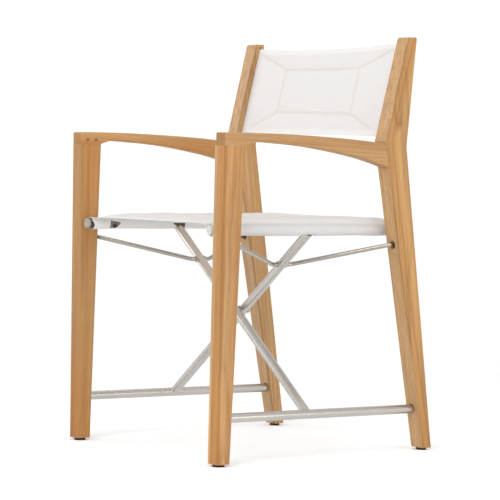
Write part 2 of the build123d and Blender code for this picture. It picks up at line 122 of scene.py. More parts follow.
class Graph:
    """The node tree of a material or a world; most methods add a node and return its Signal."""

    def __init__(self, owner, output_kind):
        owner.use_nodes = True
        self.owner = owner
        self.tree = owner.node_tree
        self.tree.nodes.clear()
        self.output = self.tree.nodes.new(output_kind)

    def put(self, socket, value):
        if isinstance(value, Signal):
            self.tree.links.new(value.socket, socket)
        elif value is not None:
            socket.default_value = value

    def node(self, kind, inputs=None, output=0, **settings):
        node = self.tree.nodes.new("ShaderNode" + kind)
        for key, value in settings.items():
            setattr(node, key, value)
        for key, value in (inputs or {}).items():
            self.put(node.inputs[key], value)
        return Signal(self, node.outputs[output])

    def math(self, operation, a, b=None, c=None, clamp=False):
        return self.node("Math", {0: a, 1: b, 2: c}, operation=operation, use_clamp=clamp)

    def vector(self, operation, a, b=None, output=0):
        return self.node("VectorMath", {0: a, 1: b}, output, operation=operation)

    def separate(self, value, kind="SeparateXYZ"):
        first = self.node(kind, {0: value})
        return [first.sibling(i) for i in range(3)]

    def noise(self, vector, scale, detail=2.0, roughness=0.5):
        """scale is in cycles per metre; a triple gives one for each axis."""
        if isinstance(scale, tuple):
            vector = self.vector("MULTIPLY", vector, scale)
            scale = 1.0
        return self.node("TexNoise", {"Vector": vector, "Scale": scale, "Detail": detail,
                                      "Roughness": roughness})

    def remap(self, value, span, to=(0.0, 1.0), smooth=False):
        """Map span onto to, clamped."""
        return self.node("MapRange", dict(enumerate((value, *span, *to))), clamp=True,
                         interpolation_type="SMOOTHSTEP" if smooth else "LINEAR")

    def ramp(self, value, stops):
        """stops: (position, grey level or RGBA)."""
        signal = self.node("ValToRGB", {0: value})
        elements = signal.socket.node.color_ramp.elements
        while len(elements) < len(stops):
            elements.new(0.5)
        for element, (position, c) in zip(elements, stops):
            element.position = position
            element.color = c if isinstance(c, tuple) else (c, c, c, 1)
        return signal

    def mix(self, a, b, amount, mode="MIX"):
        """Colour a, with the given amount of b over it."""
        return self.node("Mix", {0: amount, 6: a, 7: b}, output=2, data_type="RGBA",
                         blend_type=mode)

    def shade(self, base, value, stops):
        """Multiply base by a grey ramp over value."""
        return self.mix(base, self.ramp(value, stops), amount=1.0, mode="MULTIPLY")

    def coords(self, kind="Object"):
        return self.node("TexCoord", output=kind)

    def bump(self, height, strength, distance):
        return self.node("Bump", {"Height": height, "Strength": strength, "Distance": distance})

    def principled(self, **inputs):
        return self.node("BsdfPrincipled",
                         {key.replace("_", " "): value for key, value in inputs.items()})

    def mix_shaders(self, first, second, amount):
        return self.node("MixShader", {0: amount, 1: first, 2: second})

    def surface(self, shader):
        self.put(self.output.inputs["Surface"], shader)
        return self.owner


def material(name):
    return Graph(bpy.data.materials.new(name), "ShaderNodeOutputMaterial")


def turn_to_z(axis):
    return Vector(axis).normalized().rotation_difference(Vector((0, 0, 1))).to_matrix()


# =====================================================================
# Wood
# =====================================================================
RING_PITCH = 0.0062


def late_wood(m, board, fibres, random):
    """Dark late wood in rings about a centre beside the board."""
    drift = {"scale": (9, 9, 1.7), "detail": 3, "roughness": 0.55}
    drift_reach = 0.034
    drift_x = m.noise(fibres, **drift)
    drift_y = m.noise(m.vector("ADD", fibres, (7.3, 1.1, 3.9)), **drift)
    ripple = m.noise(fibres, scale=(46, 46, 6.0))
    x, y, _ = m.separate(board)
    angle = random.uniform(0, 6.28)
    distance = random.uniform(0.045, 0.085)
    x = x + float(distance * math.cos(angle)) + (drift_x - 0.5) * drift_reach
    y = y + float(distance * math.sin(angle)) + (drift_y - 0.5) * drift_reach
    radius = m.math("SQRT", x * x + y * y) + ripple * 0.0016
    turns = radius * (1 / RING_PITCH)
    late = m.ramp(m.math("FRACT", turns), [
        (0.0, 0.55), (0.07, 0.1), (0.45, 0.0), (0.78, 0.38), (0.93, 1.0), (1.0, 0.55)])
    # some rings are weaker than others, and each fades in places
    ring_seed = m.node("CombineXYZ", {0: m.math("FLOOR", turns), 1: 3.1, 2: 0.0})
    which = m.noise(ring_seed, scale=0.83, detail=0)
    late = late * m.remap(which, span=(0.3, 0.72), to=(0.4, 1.0))
    fading = m.noise(fibres, scale=(60, 60, 3.0), detail=1)
    return late * m.remap(fading, span=(0.3, 0.65), to=(0.35, 1.0))


def grain_and_shade_bands(m, fibres, streak, bands, gain):
    """Colour bands in planes across both faces of the arris: flat-sawn grain, with a dark line of
    painted shade along the arris and the faces painted brighter and duller by how they are lit.
    """
    x, y, z = m.separate(m.coords())
    front = None
    for slope, start in bands["fronts"]:
        face = m.math("MULTIPLY_ADD", z, slope, start)
        front = face if front is None else m.math("MAXIMUM", front, face)
    side_x, side_slope = bands["side"]
    across = x - m.math("MULTIPLY_ADD", z, side_slope, side_x)
    across = across * bands["x_share"] + (y - front)
    slow = m.noise(m.vector("ADD", fibres, (2.1, 8.8, 5.5)), scale=(10, 10, 2.4), detail=3,
                   roughness=0.55)
    across = across + (slow - 0.5) * 0.016 + (streak - 0.5) * 0.004
    stops = bands["stops"]
    low, high = stops[0][0], stops[-1][0]
    return m.ramp(m.remap(across, span=(low, high)),
                  [((at - low) / (high - low), colour(code, gain)) for at, code in stops])


def wood(name, node, grain, seed, tone, gain, bands=None, pale_ends=False):
    """Oiled hardwood with its fibres along grain; tone moves it from pale to warm."""
    random = np.random.default_rng(seed)
    m = material(name)
    low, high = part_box(node)
    turn = turn_to_z(grain)
    centre = turn @ ((low + high) / 2)
    board = m.node("Mapping", {"Vector": m.coords(), "Location": tuple(-centre),
                               "Rotation": tuple(turn.to_euler())})
    offset = tuple(float(v) for v in random.uniform(-40, 40, 3))
    fibres = m.vector("ADD", board, offset)

    late = late_wood(m, board, fibres, random)
    fibre = m.noise(fibres, scale=(820, 820, 13), detail=3, roughness=0.6)
    streak = m.noise(fibres, scale=(150, 150, 2.6), detail=3, roughness=0.55)
    patch = m.noise(fibres, scale=(26, 26, 1.3))
    pore = m.remap(m.noise(fibres, scale=(1500, 1500, 95), detail=1), span=(0.62, 0.72))
    pore = pore * m.remap(late, span=(0.0, 0.6), to=(0.45, 1.0))

    warmth = m.math("ADD", (patch - 0.5) * 1.5 + (streak - 0.5) * 0.95, tone, clamp=True)
    base = m.ramp(warmth, [(0.12, colour("DCB88B", gain)), (0.5, colour("CC9F6D", gain)),
                           (0.88, colour("C88C50", gain))])
    if bands:
        # colour bands: grain with painted shade along the arris and faces painted brighter and
        # duller by their light
        base = m.mix(base, grain_and_shade_bands(m, fibres, streak, bands, gain), amount=0.80)
    base = m.mix(base, colour("9C6A3C", gain), amount=late * 0.78)
    base = m.shade(base, streak, [(0.28, 0.75), (0.5, 1.0), (0.72, 1.17)])
    base = m.shade(base, fibre, [(0.25, 0.80), (0.5, 1.0), (0.78, 1.11)])
    base = m.mix(base, colour("7A4E2A", gain), amount=pore * 0.42)
    if pale_ends:
        height = m.separate(m.coords())[2]
        base = m.shade(base, m.remap(height, span=(0.0, 0.64)), [
            (0.0, 1.13), (0.22, 1.10), (0.45, 0.99), (0.70, 0.97), (0.95, 1.10)])

    # end grain, where the fibres come out of the surface
    facing = m.vector("DOT_PRODUCT", m.coords("Normal"), tuple(Vector(grain).normalized()),
                      output=1)
    end = m.remap(abs(facing), span=(0.80, 0.93), smooth=True)
    dots = m.remap(m.noise(fibres, scale=(1300, 1300, 300), detail=1),
                   span=(0.58, 0.7), to=(0.0, 0.6))
    end_colour = m.mix(base, colour("AE7434", gain), amount=0.48)
    end_colour = m.mix(end_colour, colour("7C4E28", gain), amount=dots)
    base = m.mix(base, end_colour, amount=end)

    # arrises: slightly rubbed, paler, smoother
    rounded = m.node("Bevel", {"Radius": 0.0024}, samples=4)
    true_normal = m.node("NewGeometry", output="Normal")
    edge = m.remap(m.vector("DOT_PRODUCT", rounded, true_normal, output=1),
                   span=(0.90, 0.995), to=(1.0, 0.0))
    edge = edge * m.remap(m.noise(fibres, scale=(120, 120, 30)), span=(0.35, 0.7), to=(0.2, 1.0))
    base = m.mix(base, colour("E2C094", gain), amount=edge * 0.22)

    rough = m.remap(fibre, span=(0.3, 0.7), to=(0.50, 0.62)) + pore * 0.15 - edge * 0.06
    relief = fibre * 0.5 - pore * 0.8 - late * 0.25
    return m.surface(m.principled(
        Base_Color=base, Roughness=rough, Specular_IOR_Level=0.34,
        Normal=m.bump(relief, strength=0.30, distance=0.00035),
        Coat_Weight=0.05, Coat_Roughness=0.4))


# =====================================================================
# Metals and plastics
# =====================================================================
def steel(name, along, tint="D3CFCA", rough=0.23, drawn=True, painted_light_tint=None):
    """Satin stainless, hairlines along the tube; the last argument paints light above the
    crossing: a lighter, warmer colour for the light there and a painted reflection of the wood.
    """
    m = material(name)
    tube = m.node("Mapping", {"Vector": m.coords(),
                              "Rotation": tuple(turn_to_z(along).to_euler())})
    hair = m.noise(tube, scale=(2400, 2400, 45), detail=3, roughness=0.6)
    cloud = m.noise(tube, scale=(35, 35, 9), detail=3, roughness=0.55)
    smear = m.noise(tube, scale=(160, 160, 12))
    base = m.mix(colour(tint), colour(tint, gain=(0.86, 0.83, 0.79)),
                 amount=m.remap(cloud, span=(0.35, 0.7), to=(0.0, 0.45)))
    if painted_light_tint:
        height = m.separate(m.coords())[2]
        # painted light and a warm painted reflection: the tube is lighter and warmer above the
        # crossing
        base = m.mix(base, colour(painted_light_tint), amount=m.remap(height, span=(0.26, 0.34), smooth=True))
    base = m.shade(base, hair, [(0.3, 0.965), (0.7, 1.02)])
    roughness = m.remap(hair, span=(0.3, 0.7), to=(rough - 0.02, rough + 0.03))
    roughness = roughness + m.remap(smear, span=(0.45, 0.7)) * 0.02
    tangent = m.node("VectorTransform", {0: tuple(Vector(along).normalized())},
                     vector_type="VECTOR", convert_from="OBJECT", convert_to="WORLD")
    return m.surface(m.principled(
        Base_Color=base, Metallic=1.0, Roughness=roughness,
        Anisotropic=0.45 if drawn else 0.0, Tangent=tangent,
        Normal=m.bump(hair, strength=0.035 if drawn else 0.008, distance=0.00005)))


def welded_rail(name, weld_y):
    """Seat rail: darker, duller steel than the tubes, painted shade inside its sleeve where it
    shows in the openings; brown round the X tube's weld, partly heat tint and partly painted shade
    in the slot; darker still at the sleeve's mouth, painted shade.
    """
    m = material(name)
    place = m.coords()
    y = m.separate(place)[1]
    distance = abs(y - weld_y) + (m.noise(place, scale=160.0, detail=3) - 0.5) * 0.010
    # brown round the weld: partly heat tint, partly painted shade where the tube comes through the
    # slot
    weld_tint_and_shade = m.remap(distance, span=(0.016, 0.026), to=(1.0, 0.0), smooth=True)
    # painted shade in the sleeve's mouth: the rail goes dark near its front end
    mouth = m.remap(y, span=(-0.252, -0.246), to=(0.85, 0.0), smooth=True)
    hair = m.noise(place, scale=(2400, 60, 2400), detail=3, roughness=0.6)
    cloud = m.noise(place, scale=(300, 90, 300), detail=3, roughness=0.6)
    # steel darker than the other tubes: painted shade inside the sleeve
    base = m.mix(colour("9E958A"), colour("6C635A"), amount=m.remap(cloud, span=(0.38, 0.62)))
    base = m.mix(base, colour("5E4E40"), amount=weld_tint_and_shade * 0.85)
    base = m.mix(base, colour("4B443D"), amount=mouth)
    return m.surface(m.principled(
        Base_Color=base, Metallic=0.9,
        Roughness=m.remap(hair, span=(0.3, 0.7), to=(0.28, 0.42)),
        Normal=m.bump(hair, strength=0.12, distance=0.00008)))


def plastic(name, code, rough, mottle, peel, scale, subsurface):
    """Moulded part: fine orange-peel, faint mottling, scuffs."""
    m = material(name)
    place = m.coords()
    grain = m.noise(place, scale=float(scale))
    cloud = m.noise(place, scale=60.0, detail=3)
    scuff = m.remap(m.noise(place, scale=(500, 90, 500), detail=3, roughness=0.7),
                    span=(0.60, 0.72))
    base = m.shade(colour(code), cloud, [(0.3, 1.0 - mottle), (0.7, 1.0 + mottle)])
    base = m.mix(base, colour("A8A29A"), amount=scuff * 0.18)
    roughness = m.remap(grain, span=(0.3, 0.7), to=(rough - 0.05, rough + 0.07)) + scuff * 0.12
    return m.surface(m.principled(
        Base_Color=base, Roughness=roughness, Specular_IOR_Level=0.4,
        Subsurface_Weight=subsurface, Subsurface_Scale=0.002,
        Normal=m.bump(grain, strength=peel, distance=0.0001)))


# =====================================================================
# Cloth and thread
# =====================================================================
YARN_PITCH = 0.0013


def cloth(name, code, shade, warm, through, seam_tint, backed=None):
    """Open-weave coated yarn; UVs run along the yarns, in metres.
    Colour attribute `sew`: red = seam, green = double layer.  `through` is the share of
    light let through; `backed` is the x below which a rail behind the cloth stops it."""
    m = material(name)
    uv = m.node("UVMap", uv_map="cloth")
    u, v, _ = m.separate(uv)
    wobble = m.noise(uv, scale=55.0)
    u = u + wobble * 0.0005
    v = v + wobble * 0.0005
    yarn_u, yarn_v = (abs(m.math("SINE", w * (math.pi / YARN_PITCH))) for w in (u, v))
    odd_u, odd_v = (m.math("FLOOR", w / YARN_PITCH) % 2.0 for w in (u, v))
    over = abs(abs(odd_u) - abs(odd_v))
    height = m.math("MAXIMUM", yarn_u * (0.6 + over * 0.4), yarn_v * (1.0 - over * 0.4))
    gap = m.remap(height, span=(0.12, 0.55), to=(1.0, 0.0))     # between the yarns
    slub = m.noise(uv, scale=(1500, 16, 1)) + m.noise(uv, scale=(16, 1500, 1))
    cloud = m.noise(m.coords(), scale=7.0, detail=3)
    seam, double, _ = m.separate(m.node("VertexColor", layer_name="sew"), "SeparateColor")

    base = m.mix(colour(shade), colour(code), amount=m.remap(slub, span=(0.75, 1.25)))
    # painted shade: grey mixed into the gaps between the yarns
    base = m.mix(base, colour("B9B5AE"), amount=gap * 0.22)
    base = m.mix(base, colour(warm), amount=m.remap(cloud, span=(0.35, 0.7), to=(0.0, 0.12)))
    base = m.mix(base, colour("E3D8CD"), amount=seam * seam_tint)
    base = m.mix(base, colour("FAF9F7"), amount=double * 0.10)
    normal = m.bump(height + slub * 0.35, strength=0.35, distance=0.00028)
    solid = m.principled(
        Base_Color=base, Roughness=m.remap(height, span=(0.2, 1.0), to=(0.85, 0.62)),
        Specular_IOR_Level=0.28, Sheen_Weight=0.10, Sheen_Roughness=0.5, Normal=normal)
    glow = m.node("BsdfTranslucent", {"Color": base, "Normal": normal})
    amount = (1.0 - double * 0.6) * through
    if backed is not None:
        x = m.separate(m.coords())[0]
        amount = amount * m.remap(x, span=(backed - 0.004, backed + 0.012), to=(0.2, 1.0))
    return m.surface(m.mix_shaders(solid, glow, amount))


def thread(name, code):
    m = material(name)
    twist = m.noise(m.coords(), scale=(2600, 900, 2600))
    base = m.shade(colour(code), twist, [(0.3, 0.86), (0.7, 1.06)])
    return m.surface(m.principled(Base_Color=base, Roughness=0.6, Sheen_Weight=0.2,
                                  Normal=m.bump(twist, strength=0.3, distance=0.0001)))


# =====================================================================
# Materials on the CAD pieces
# =====================================================================
def finish(node, mat):
    materials = NODES[node].data.materials
    materials.clear()
    materials.append(mat)


# Colour bands on three legs: flat-sawn grain, plus a dark line of painted shade along the arris,
# faces painted brighter and duller by their light, and a painted highlight on the near front leg's
# inner front edge:
#   x_share  weight of the distance from the side face against that from the front face
#   side     side face: x at z = 0, slope
#   fronts   front face, the foremost excluded: (slope, y at z = 0) of each plane
#   stops    (distance across the bands, colour)
BENT_FRONT = [(-0.16218, 0.24591), (0.26713, -0.03123)]
NEAR_BANDS = {"x_share": 1.0, "side": (0.2895, 0.01012), "fronts": [(0.02081, -0.26880)],
              "stops": [
    (-0.040, "E2BE94"), (-0.029, "DDB588"), (-0.022, "CC9358"), (-0.006, "C88A4A"),
    (0.000, "A87038"), (0.003, "AC743C"), (0.008, "CBA077"), (0.018, "C6986C"),
    (0.026, "BA885A"), (0.040, "BA875C"), (0.052, "B68252")]}
REAR_BANDS = {"x_share": 0.6, "side": (0.2895, 0.01012), "fronts": BENT_FRONT, "stops": [
    (-0.024, "D6A676"), (-0.010, "DBB083"), (-0.0025, "D9AB7B"), (0.000, "A06C3A"),
    (0.0022, "C08A50"), (0.010, "C99458"), (0.0135, "AC7842"), (0.017, "C48D52"),
    (0.030, "CF9E66"), (0.042, "C8925A")]}
FAR_REAR_BANDS = {"x_share": 0.6, "side": (-0.2495, -0.01012), "fronts": BENT_FRONT, "stops": [
    (-0.024, "D0A478"), (-0.004, "D2A87E"), (0.000, "8E6238"), (0.0024, "C49562"),
    (0.020, "C89A68"), (0.042, "C6965F")]}

FRONT_GRAIN, REAR_GRAIN, ARM_GRAIN = (0.0, 0.036, 1), (0.0, -0.09, 1), (0.0, 1, -0.085)
# piece, grain, seed, tone, gain of red, green and blue, bands
WOODS = [
    ("left_front_leg", FRONT_GRAIN, 11, 0.60, (0.87, 0.84, 0.70), NEAR_BANDS),
    ("right_front_leg", FRONT_GRAIN, 23, 0.62, (0.77, 0.68, 0.52), None),
    ("left_rear_leg", REAR_GRAIN, 31, 0.46, (0.86, 0.86, 0.79), REAR_BANDS),
    ("right_rear_leg", REAR_GRAIN, 47, 0.42, (0.91, 0.94, 0.93), FAR_REAR_BANDS),
    ("left_armrest", ARM_GRAIN, 59, 0.50, (0.79, 0.77, 0.72), None),
    ("right_armrest", ARM_GRAIN, 61, 0.56, (0.88, 0.85, 0.76), None),
]
for node, grain, seed, tone, gain, bands in WOODS:
    finish(node, wood("wood_" + node, node, grain, seed, tone, gain, bands,
                      pale_ends=node == "left_front_leg"))

CROSS_SLOPE = 0.735                 # rise of the crossed tubes over their run in x
cross_run = 1 / math.hypot(1, CROSS_SLOPE)
cross_rise = CROSS_SLOPE * cross_run
# piece, direction of its tube, other arguments of steel()
ROD = {"tint": "BCB6AD", "rough": 0.25, "drawn": False}
STEELS = [
    ("left_bottom_rail", tilt((0, 1, 0)), {}),
    ("right_bottom_rail", tilt((0, 1, 0)), {}),
    # the front X tube gets painted light and a painted reflection of the wood above the crossing
    ("front_x_tube", tilt((-cross_run, 0, cross_rise)), {"painted_light_tint": "E2D7CB"}),
    ("rear_x_tube", tilt((cross_run, 0, cross_rise)), {}),
    ("left_brace_rod", (0.3, 1, 0), ROD),
    ("right_brace_rod", (-0.3, 1, 0), ROD),
]
for node, along, options in STEELS:
    finish(node, steel("steel_" + node, along, **options))
finish("left_seat_rail", welded_rail("steel_left_seat_rail", weld_y=-0.0083))
finish("right_seat_rail", welded_rail("steel_right_seat_rail", weld_y=-0.0285))
bright = steel("steel_fixings", (1, 0, 0), tint="DEDAD3", rough=0.22)
for node in ("pivot_bolt", "pivot_nut", "pivot_spacer"):
    finish(node, bright)

# material, colour, roughness, mottling, orange-peel, its cycles per metre, subsurface, pieces;
# a piece that starts with "_" is on both sides
PLASTICS = [
    ("peg_wood", "8A5A34", 0.6, 0.15, 0.2, 1800, 0.0, ["_arm_pegs"]),
    ("screw_black", "2E2A27", 0.4, 0.1, 0.1, 900, 0.0, ["_sleeve_screw"]),
    ("foot_rubber", "30281C", 0.7, 0.2, 0.25, 700, 0.0, ["_foot_pads"]),
    # one kind of plug on both rails: the right plug's darker, browner grey is painted shade beside
    # the leg and a painted reflection of the wood
    ("plug_right", "A39A8F", 0.24, 0.16, 0.08, 500, 0.05, ["right_seat_rail_plugs"]),
    ("plug_left", "D0CDC8", 0.34, 0.08, 0.08, 900, 0.08, ["left_seat_rail_plugs"]),
    ("nylon", "C9C4BA", 0.42, 0.04, 0.05, 800, 0.05,
     ["_rail_bushes", "_tube_bushes", "_sling_rod"]),
    ("dark_nylon", "4A4238", 0.5, 0.08, 0.08, 800, 0.0, ["_rod_bushes"]),
]
for *look, pieces in PLASTICS:
    mat = plastic(*look)
    for piece in pieces:
        for node in [side + piece for side in SIDES] if piece[0] == "_" else [piece]:
            finish(node, mat)

SEAT_CLOTH = cloth("seat_cloth", "F8F7F7", shade="EEEDEC", warm="F0EDE9", through=0.36,
                   seam_tint=0.3, backed=-0.215)
BACK_CLOTH = cloth("back_cloth", "FAF8F8", shade="F3F0EF", warm="F4F0ED", through=0.22,
                   seam_tint=0.32)
THREAD = thread("seam_thread", "F1ECE4")


# =====================================================================
# Mesh helpers
# =====================================================================
def quad(first, second, a, b):
    """Face between places a and b of two rows that start at vertices first and second."""
    return (first + a, first + b, second + b, second + a)


def ring_pairs(count):
    return [(i, (i + 1) % count) for i in range(count)]


def set_smooth(mesh):
    mesh.polygons.foreach_set("use_smooth", [True] * len(mesh.polygons))


def new_object(name, verts, faces, mat, smooth=True):
    mesh = bpy.data.meshes.new(name)
    mesh.from_pydata([tuple(v) for v in verts], [], [tuple(f) for f in faces])
    mesh.update()
    if smooth:
        set_smooth(mesh)
    mesh.materials.append(mat)
    obj = bpy.data.objects.new(name, mesh)
    bpy.context.scene.collection.objects.link(obj)
    return obj


def new_cloth(name, verts, faces, mat, uvs, sew):
    """A sheet with the per-vertex data that cloth() reads."""
    obj = new_object(name, verts, faces, mat)
    mesh = obj.data
    layer = mesh.uv_layers.new(name="cloth")
    corners = np.zeros(len(mesh.loops), int)
    mesh.loops.foreach_get("vertex_index", corners)
    layer.data.foreach_set("uv", np.array(uvs, float)[corners].ravel())
    attribute = mesh.color_attributes.new("sew", "FLOAT_COLOR", "POINT")
    attribute.data.foreach_set("color", np.array(sew, float).ravel())
    return obj


def thicken(obj):
    solidify = obj.modifiers.new("thick", "SOLIDIFY")
    solidify.thickness = CLOTH_THICKNESS
    solidify.offset = 0.0


def apply_modifiers(obj):
    graph = bpy.context.evaluated_depsgraph_get()
    mesh = bpy.data.meshes.new_from_object(obj.evaluated_get(graph))
    old = obj.data
    obj.modifiers.clear()
    obj.data = mesh
    bpy.data.meshes.remove(old)
    set_smooth(mesh)


STITCH_PITCH, STITCH_LENGTH = 0.0038, 0.0027
THREAD_RADIUS, THREAD_SIDES = 0.00032, 6
STITCH_LIFT = 0.0002
# along one stitch: place / length, height / thread radius, width / thread radius
STITCH_STATIONS = [(-0.5, -0.9, 0.55), (-0.25, 0.25, 1), (0, 0.6, 1.05), (0.25, 0.25, 1),
                   (0.5, -0.9, 0.55)]


def unit(vector):
    return vector / np.linalg.norm(vector)


def stitches(name, runs):
    """Rows of thread lying on a surface.  runs: (points, normals)."""
    verts, faces = [], []
    sides = THREAD_SIDES
    for points, normals in runs:
        points, normals = np.array(points, float), np.array(normals, float)
        steps = np.linalg.norm(np.diff(points, axis=0), axis=1)
        travel = np.concatenate([[0], np.cumsum(steps)])

        def at(distance, values):
            return np.array([np.interp(distance, travel, values[:, k]) for k in range(3)])

        count = int(travel[-1] / STITCH_PITCH)
        for i in range(count):
            middle = (i + 0.5) * travel[-1] / count
            centres = [at(middle + place * STITCH_LENGTH, points)
                       for place, _, _ in STITCH_STATIONS]
            normal = unit(at(middle, normals))
            across = unit(np.cross(normal, unit(centres[-1] - centres[0])))
            base = len(verts)
            for centre, (_, rise, width) in zip(centres, STITCH_STATIONS):
                centre = centre + normal * (STITCH_LIFT + rise * THREAD_RADIUS)
                for k in range(sides):
                    angle = 2 * math.pi * k / sides
                    spoke = across * math.cos(angle) + normal * math.sin(angle)
                    verts.append(centre + spoke * THREAD_RADIUS * width)
            last = base + (len(STITCH_STATIONS) - 1) * sides
            for start in range(base, last, sides):
                faces += [quad(start, start + sides, a, b) for a, b in ring_pairs(sides)]
            faces.append(tuple(base + k for k in reversed(range(sides))))
            faces.append(tuple(last + k for k in range(sides)))
    return new_object(name, verts, faces, THREAD)


def smoothstep(low, high, x):
    t = min(max((x - low) / (high - low), 0.0), 1.0)
    return float(t * t * (3 - 2 * t))


def bell(x, width):
    return float(np.exp(-(x / width) ** 2))


# =====================================================================
# Seat: one cloth with a sewn sleeve round each rail, laid out level and then tilted.
# Sleeve angles are in degrees: 0 is outward, 90 up, 180 inward, 270 down.
# =====================================================================
RAIL_X, RAIL_Z = 0.230, 0.4642
SLEEVE_RADIUS = 0.01135             # middle of the cloth round the rail
FRONT_Y, REAR_Y = -0.2545, 0.196    # the two hems
HEM_SEAM, HEM_WIDTH = 0.0150, 0.0185
SEAMS_IN = (0.0150, 0.0200)         # the two seams beside each sleeve, in from the rail
SHEET_CROWN = 0.0118                # how far the sheet stands above the sleeves
NOTCH_FRONT, NOTCH_REAR = -0.2150, -0.1900      # opening in each sleeve near the front
NOTCH_ANGLES = (145, 236)
SLOT_Y = {-1: -0.0410, 1: -0.0164}  # where an X tube enters each sleeve, by side
SLOT_HALF = {-1: 0.0155, 1: 0.0160}
SLOT_ANGLES = (179, 306)


def seat_profile():
    """Stations from left flap to right: x, rise over the rail axis, share of the sheet's
    crown, sleeve angle or None, side."""
    half = [(x, SLEEVE_RADIUS - 0.00150, 0.999, None)           # flap under the sheet
            for x in np.linspace(RAIL_X - 0.034, RAIL_X - 0.0125, 7)]
    half += [(RAIL_X, 0.0, 0.0, float(angle)) for angle in np.linspace(122, 450, 44)]
    inward = np.concatenate([np.linspace(0.005, 0.060, 12), np.linspace(0.0675, RAIL_X, 22)])
    half += [(RAIL_X - u, SLEEVE_RADIUS, 1.0, None) for u in inward]
    other = [(-x, *rest, -1) for x, *rest in reversed(half[:-1])]
    return [(*station, 1) for station in half] + other


def seat_rows():
    """y of the rows, denser at the openings."""
    rows = [FRONT_Y + d for d in (0.0, 0.003, 0.008, 0.014, 0.020)]
    for end, steps in (
            (NOTCH_FRONT, 4), (NOTCH_REAR, 6),
            (SLOT_Y[-1] - SLOT_HALF[-1], 18), (SLOT_Y[1] - SLOT_HALF[1], 4),
            (SLOT_Y[-1] + SLOT_HALF[-1], 2), (SLOT_Y[1] + SLOT_HALF[1], 4),
            (REAR_Y - 0.020, 24), (REAR_Y - 0.008, 2), (REAR_Y - 0.003, 1), (REAR_Y, 1)):
        rows += list(np.linspace(rows[-1], end, steps + 1)[1:])
    return rows


def sheet_rise(x, y):
    """Height of the sheet over the line across the sleeves."""
    inward = max(RAIL_X - abs(x), 0.0)
    behind = max(y - FRONT_Y, 0.0)
    width = 0.027 - 0.012 * smoothstep(0.03, 0.19, y)
    across = (1 - math.exp(-(inward / width) ** 2.2)) * (1 - 0.07 * smoothstep(0.09, 0.23, inward))
    along = 1 - 0.82 * math.exp(-(behind / 0.030) ** 1.3)
    rise = SHEET_CROWN * across * along
    # long, shallow waves
    waves = smoothstep(0.012, 0.075, inward) * smoothstep(0.0, 0.05, behind)
    rise += waves * (0.0007 * math.sin(2 * math.pi * (y / 0.131 + 0.15 + 0.35 * x))
                     + 0.0005 * math.sin(2 * math.pi * (y / 0.071 + x / 0.30 + 0.4)))
    # drawn folds that fan in from three corners: side, y, depth
    for side, corner_y, depth in ((1, 0.185, 0.0010), (-1, 0.185, 0.0007), (1, -0.235, 0.0004)):
        dx, dy = side * RAIL_X - x, corner_y - y
        angle = math.atan2(abs(dy), abs(dx) + 1e-6)
        distance = math.hypot(dx, dy)
        rise += (depth * math.sin(9.0 * angle + 0.6) * math.exp(-(distance / 0.085) ** 2)
                 * smoothstep(0.012, 0.035, distance) * smoothstep(0.002, 0.02, inward))
    # small gathers along each sleeve
    gathers = math.sin(y / 0.0068 + 2 * math.sin(y / 0.031))
    return rise + 0.0004 * gathers * bell(inward - 0.0215, 0.007)


def sleeve_radius(angle, y, side):
    """The sleeve is round, with a loose mouth, a patch at the tube and small gathers."""
    radians = math.radians
    radius = SLEEVE_RADIUS
    low = bell(angle - 275, 60)
    radius += (0.0019 * math.exp(-(y - FRONT_Y) / 0.005)
               * (0.5 + 0.5 * math.sin(radians(4 * angle + 40))))
    radius += 0.0006 * math.exp(-(REAR_Y - y) / 0.006)
    from_slot = y - SLOT_Y[side]
    patch = (smoothstep(-0.056, -0.050, from_slot) * smoothstep(0.034, 0.028, from_slot)
             * smoothstep(262, 285, angle) * smoothstep(372, 350, angle))
    radius += patch * (0.0007 + 0.00028 * math.sin(y / 0.0017 + radians(2 * angle)))
    return radius + 0.0007 * low * bell(y - 0.148, 0.022) + 0.0003 * low * math.sin(y / 0.021)


def warp_notch(angle, y):
    """The notch is narrower low down: its rear edge and its top edge slope."""
    near = np.interp(y, (NOTCH_FRONT, NOTCH_REAR, NOTCH_REAR + 0.020), (0, 1, 0))
    top = np.interp(angle, (122, 145, 236), (0, 1, 0))
    low = np.interp(angle, (145, 236, 290), (0, 1, 0))
    return angle + 27.0 * near * top, y - 0.0105 * near * low


def warp_slot(angle, y, side):
    """The right slot closes round the tube below: its front edge slants back."""
    if side > 0:
        return y
    edge = SLOT_Y[side] - SLOT_HALF[side]
    near = np.interp(y, (edge - 0.022, edge, edge + 0.012), (0, 1, 0))
    low = np.interp(angle, (181, 214, 330, 370), (0, 1, 1, 0))
    return y + 0.0120 * near * low


def mouth_shift(y, share, side):
    """The right sleeve's mouth is cut aslant: its top lip runs further forward."""
    return -0.0075 * share * math.exp(-max(y - FRONT_Y, 0.0) / 0.007) if side < 0 else 0.0


def sleeve_point(angle, y, side):
    angle, y = warp_notch(angle, y)
    y = warp_slot(angle, y, side)
    radius = sleeve_radius(angle, y, side)
    cos, sin = math.cos(math.radians(angle)), math.sin(math.radians(angle))
    return (side * (RAIL_X + radius * cos), y + mouth_shift(y, (0.5 + 0.5 * sin) ** 1.5, side),
            RAIL_Z + radius * sin)


def sheet_point(x, y, rise=SLEEVE_RADIUS, share=1.0):
    y += mouth_shift(y, smoothstep(0.030, 0.0, RAIL_X - abs(x)), -1 if x < 0 else 1)
    z = RAIL_Z + rise + share * sheet_rise(x, y)
    if share >= 1:      # a faint step where each hem ends
        z -= 0.00045 * max(bell(y - (FRONT_Y + HEM_WIDTH), 0.0022),
                           bell(y - (REAR_Y - HEM_WIDTH), 0.0022))
    return (x, y, z)


def seat_point(station, y):
    x, rise, share, angle, side = station
    if angle is None:
        return sheet_point(x, y, rise, share)
    return sleeve_point(angle, y, side)


